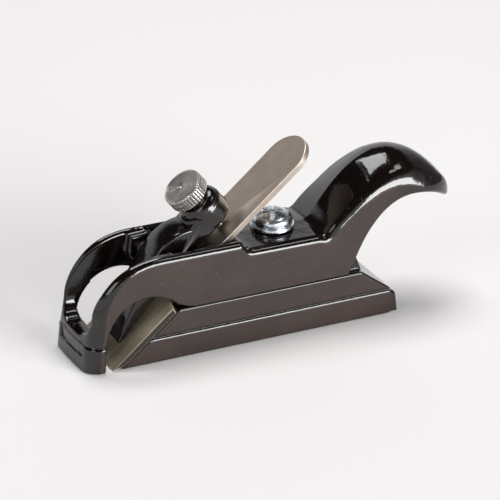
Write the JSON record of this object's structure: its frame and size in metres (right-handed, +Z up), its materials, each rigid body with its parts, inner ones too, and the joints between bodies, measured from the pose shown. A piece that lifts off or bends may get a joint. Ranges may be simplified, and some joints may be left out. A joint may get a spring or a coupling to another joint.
{
  "type": "hand plane",
  "caption": "Small bull-nose rabbet plane: black castings that slide to set the mouth, steep shouldered cutter, lever cap with knurled thumbscrew, horn-shaped handle.",
  "frame": {"origin": "centre of the bounding box in plan, on the sole plane", "axes": "+X runs from the toe to the heel, +Z up from the sole, +Y completes the right-handed frame"},
  "size_m": [0.1227, 0.0254, 0.0565],
  "materials": {
    "japanned_iron": "gloss black japanning over cast iron",
    "cutter_steel": "fine surface grinding, satin",
    "nickel_plate": "turned face, straight knurl, satin nickel",
    "zinc_plate": "bright zinc plate",
    "plain_steel": "turned, satin"
  },
  "bodies": {
    "base": {"base": "japanned_iron"},
    "body": {"body": "japanned_iron", "cross_rod": "plain_steel"},
    "cutter": {"cutter": "cutter_steel"},
    "lever_cap": {"lever_cap": "japanned_iron"},
    "thumbscrew_stud": {"thumbscrew_stud": "plain_steel"},
    "thumbscrew_knob": {"thumbscrew_knob": "nickel_plate"},
    "screw_washer": {"screw_washer": "zinc_plate"},
    "binding_screw": {"binding_screw": "zinc_plate"}
  },
  "joints": [
    {"name": "mouth_slide", "type": "slide", "parent": "base", "child": "body", "axis": [1, 0, 0], "range_m": [-0.0015, 0]},
    {"name": "cutter_slide", "type": "slide", "parent": "base", "child": "cutter", "axis": [0.7604, 0, 0.6494], "range_m": [-0.001, 0.0005]},
    {"name": "lever_cap_tilt", "type": "hinge", "parent": "body", "child": "lever_cap", "pos_m": [-0.03488, 0, 0.02747], "axis": [0, 1, 0], "range_deg": [0, 2.5]},
    {"name": "stud_advance", "type": "slide", "parent": "lever_cap", "child": "thumbscrew_stud", "axis": [-0.6494, 0, 0.7604], "range_m": [0, 0.00085]},
    {"name": "thumbscrew_turn", "type": "hinge", "parent": "thumbscrew_stud", "child": "thumbscrew_knob", "pos_m": [-0.02311, 0, 0.04463], "axis": [-0.6494, 0, 0.7604], "range_deg": [0, 360]},
    {"name": "washer_lift", "type": "slide", "parent": "base", "child": "screw_washer", "axis": [0, 0, 1], "range_m": [0, 0.00105]},
    {"name": "screw_turn", "type": "hinge", "parent": "screw_washer", "child": "binding_screw", "pos_m": [0.0036, 0, 0.0313], "axis": [0, 0, 1], "range_deg": [0, 360]}
  ],
  "couplings": [
    {"joint": "stud_advance", "follows": "thumbscrew_turn", "m_per_rad": 0.00012732},
    {"joint": "lever_cap_tilt", "follows": "thumbscrew_turn", "ratio": 0.0063345},
    {"joint": "washer_lift", "follows": "screw_turn", "m_per_rad": 0.00015915}
  ]
}
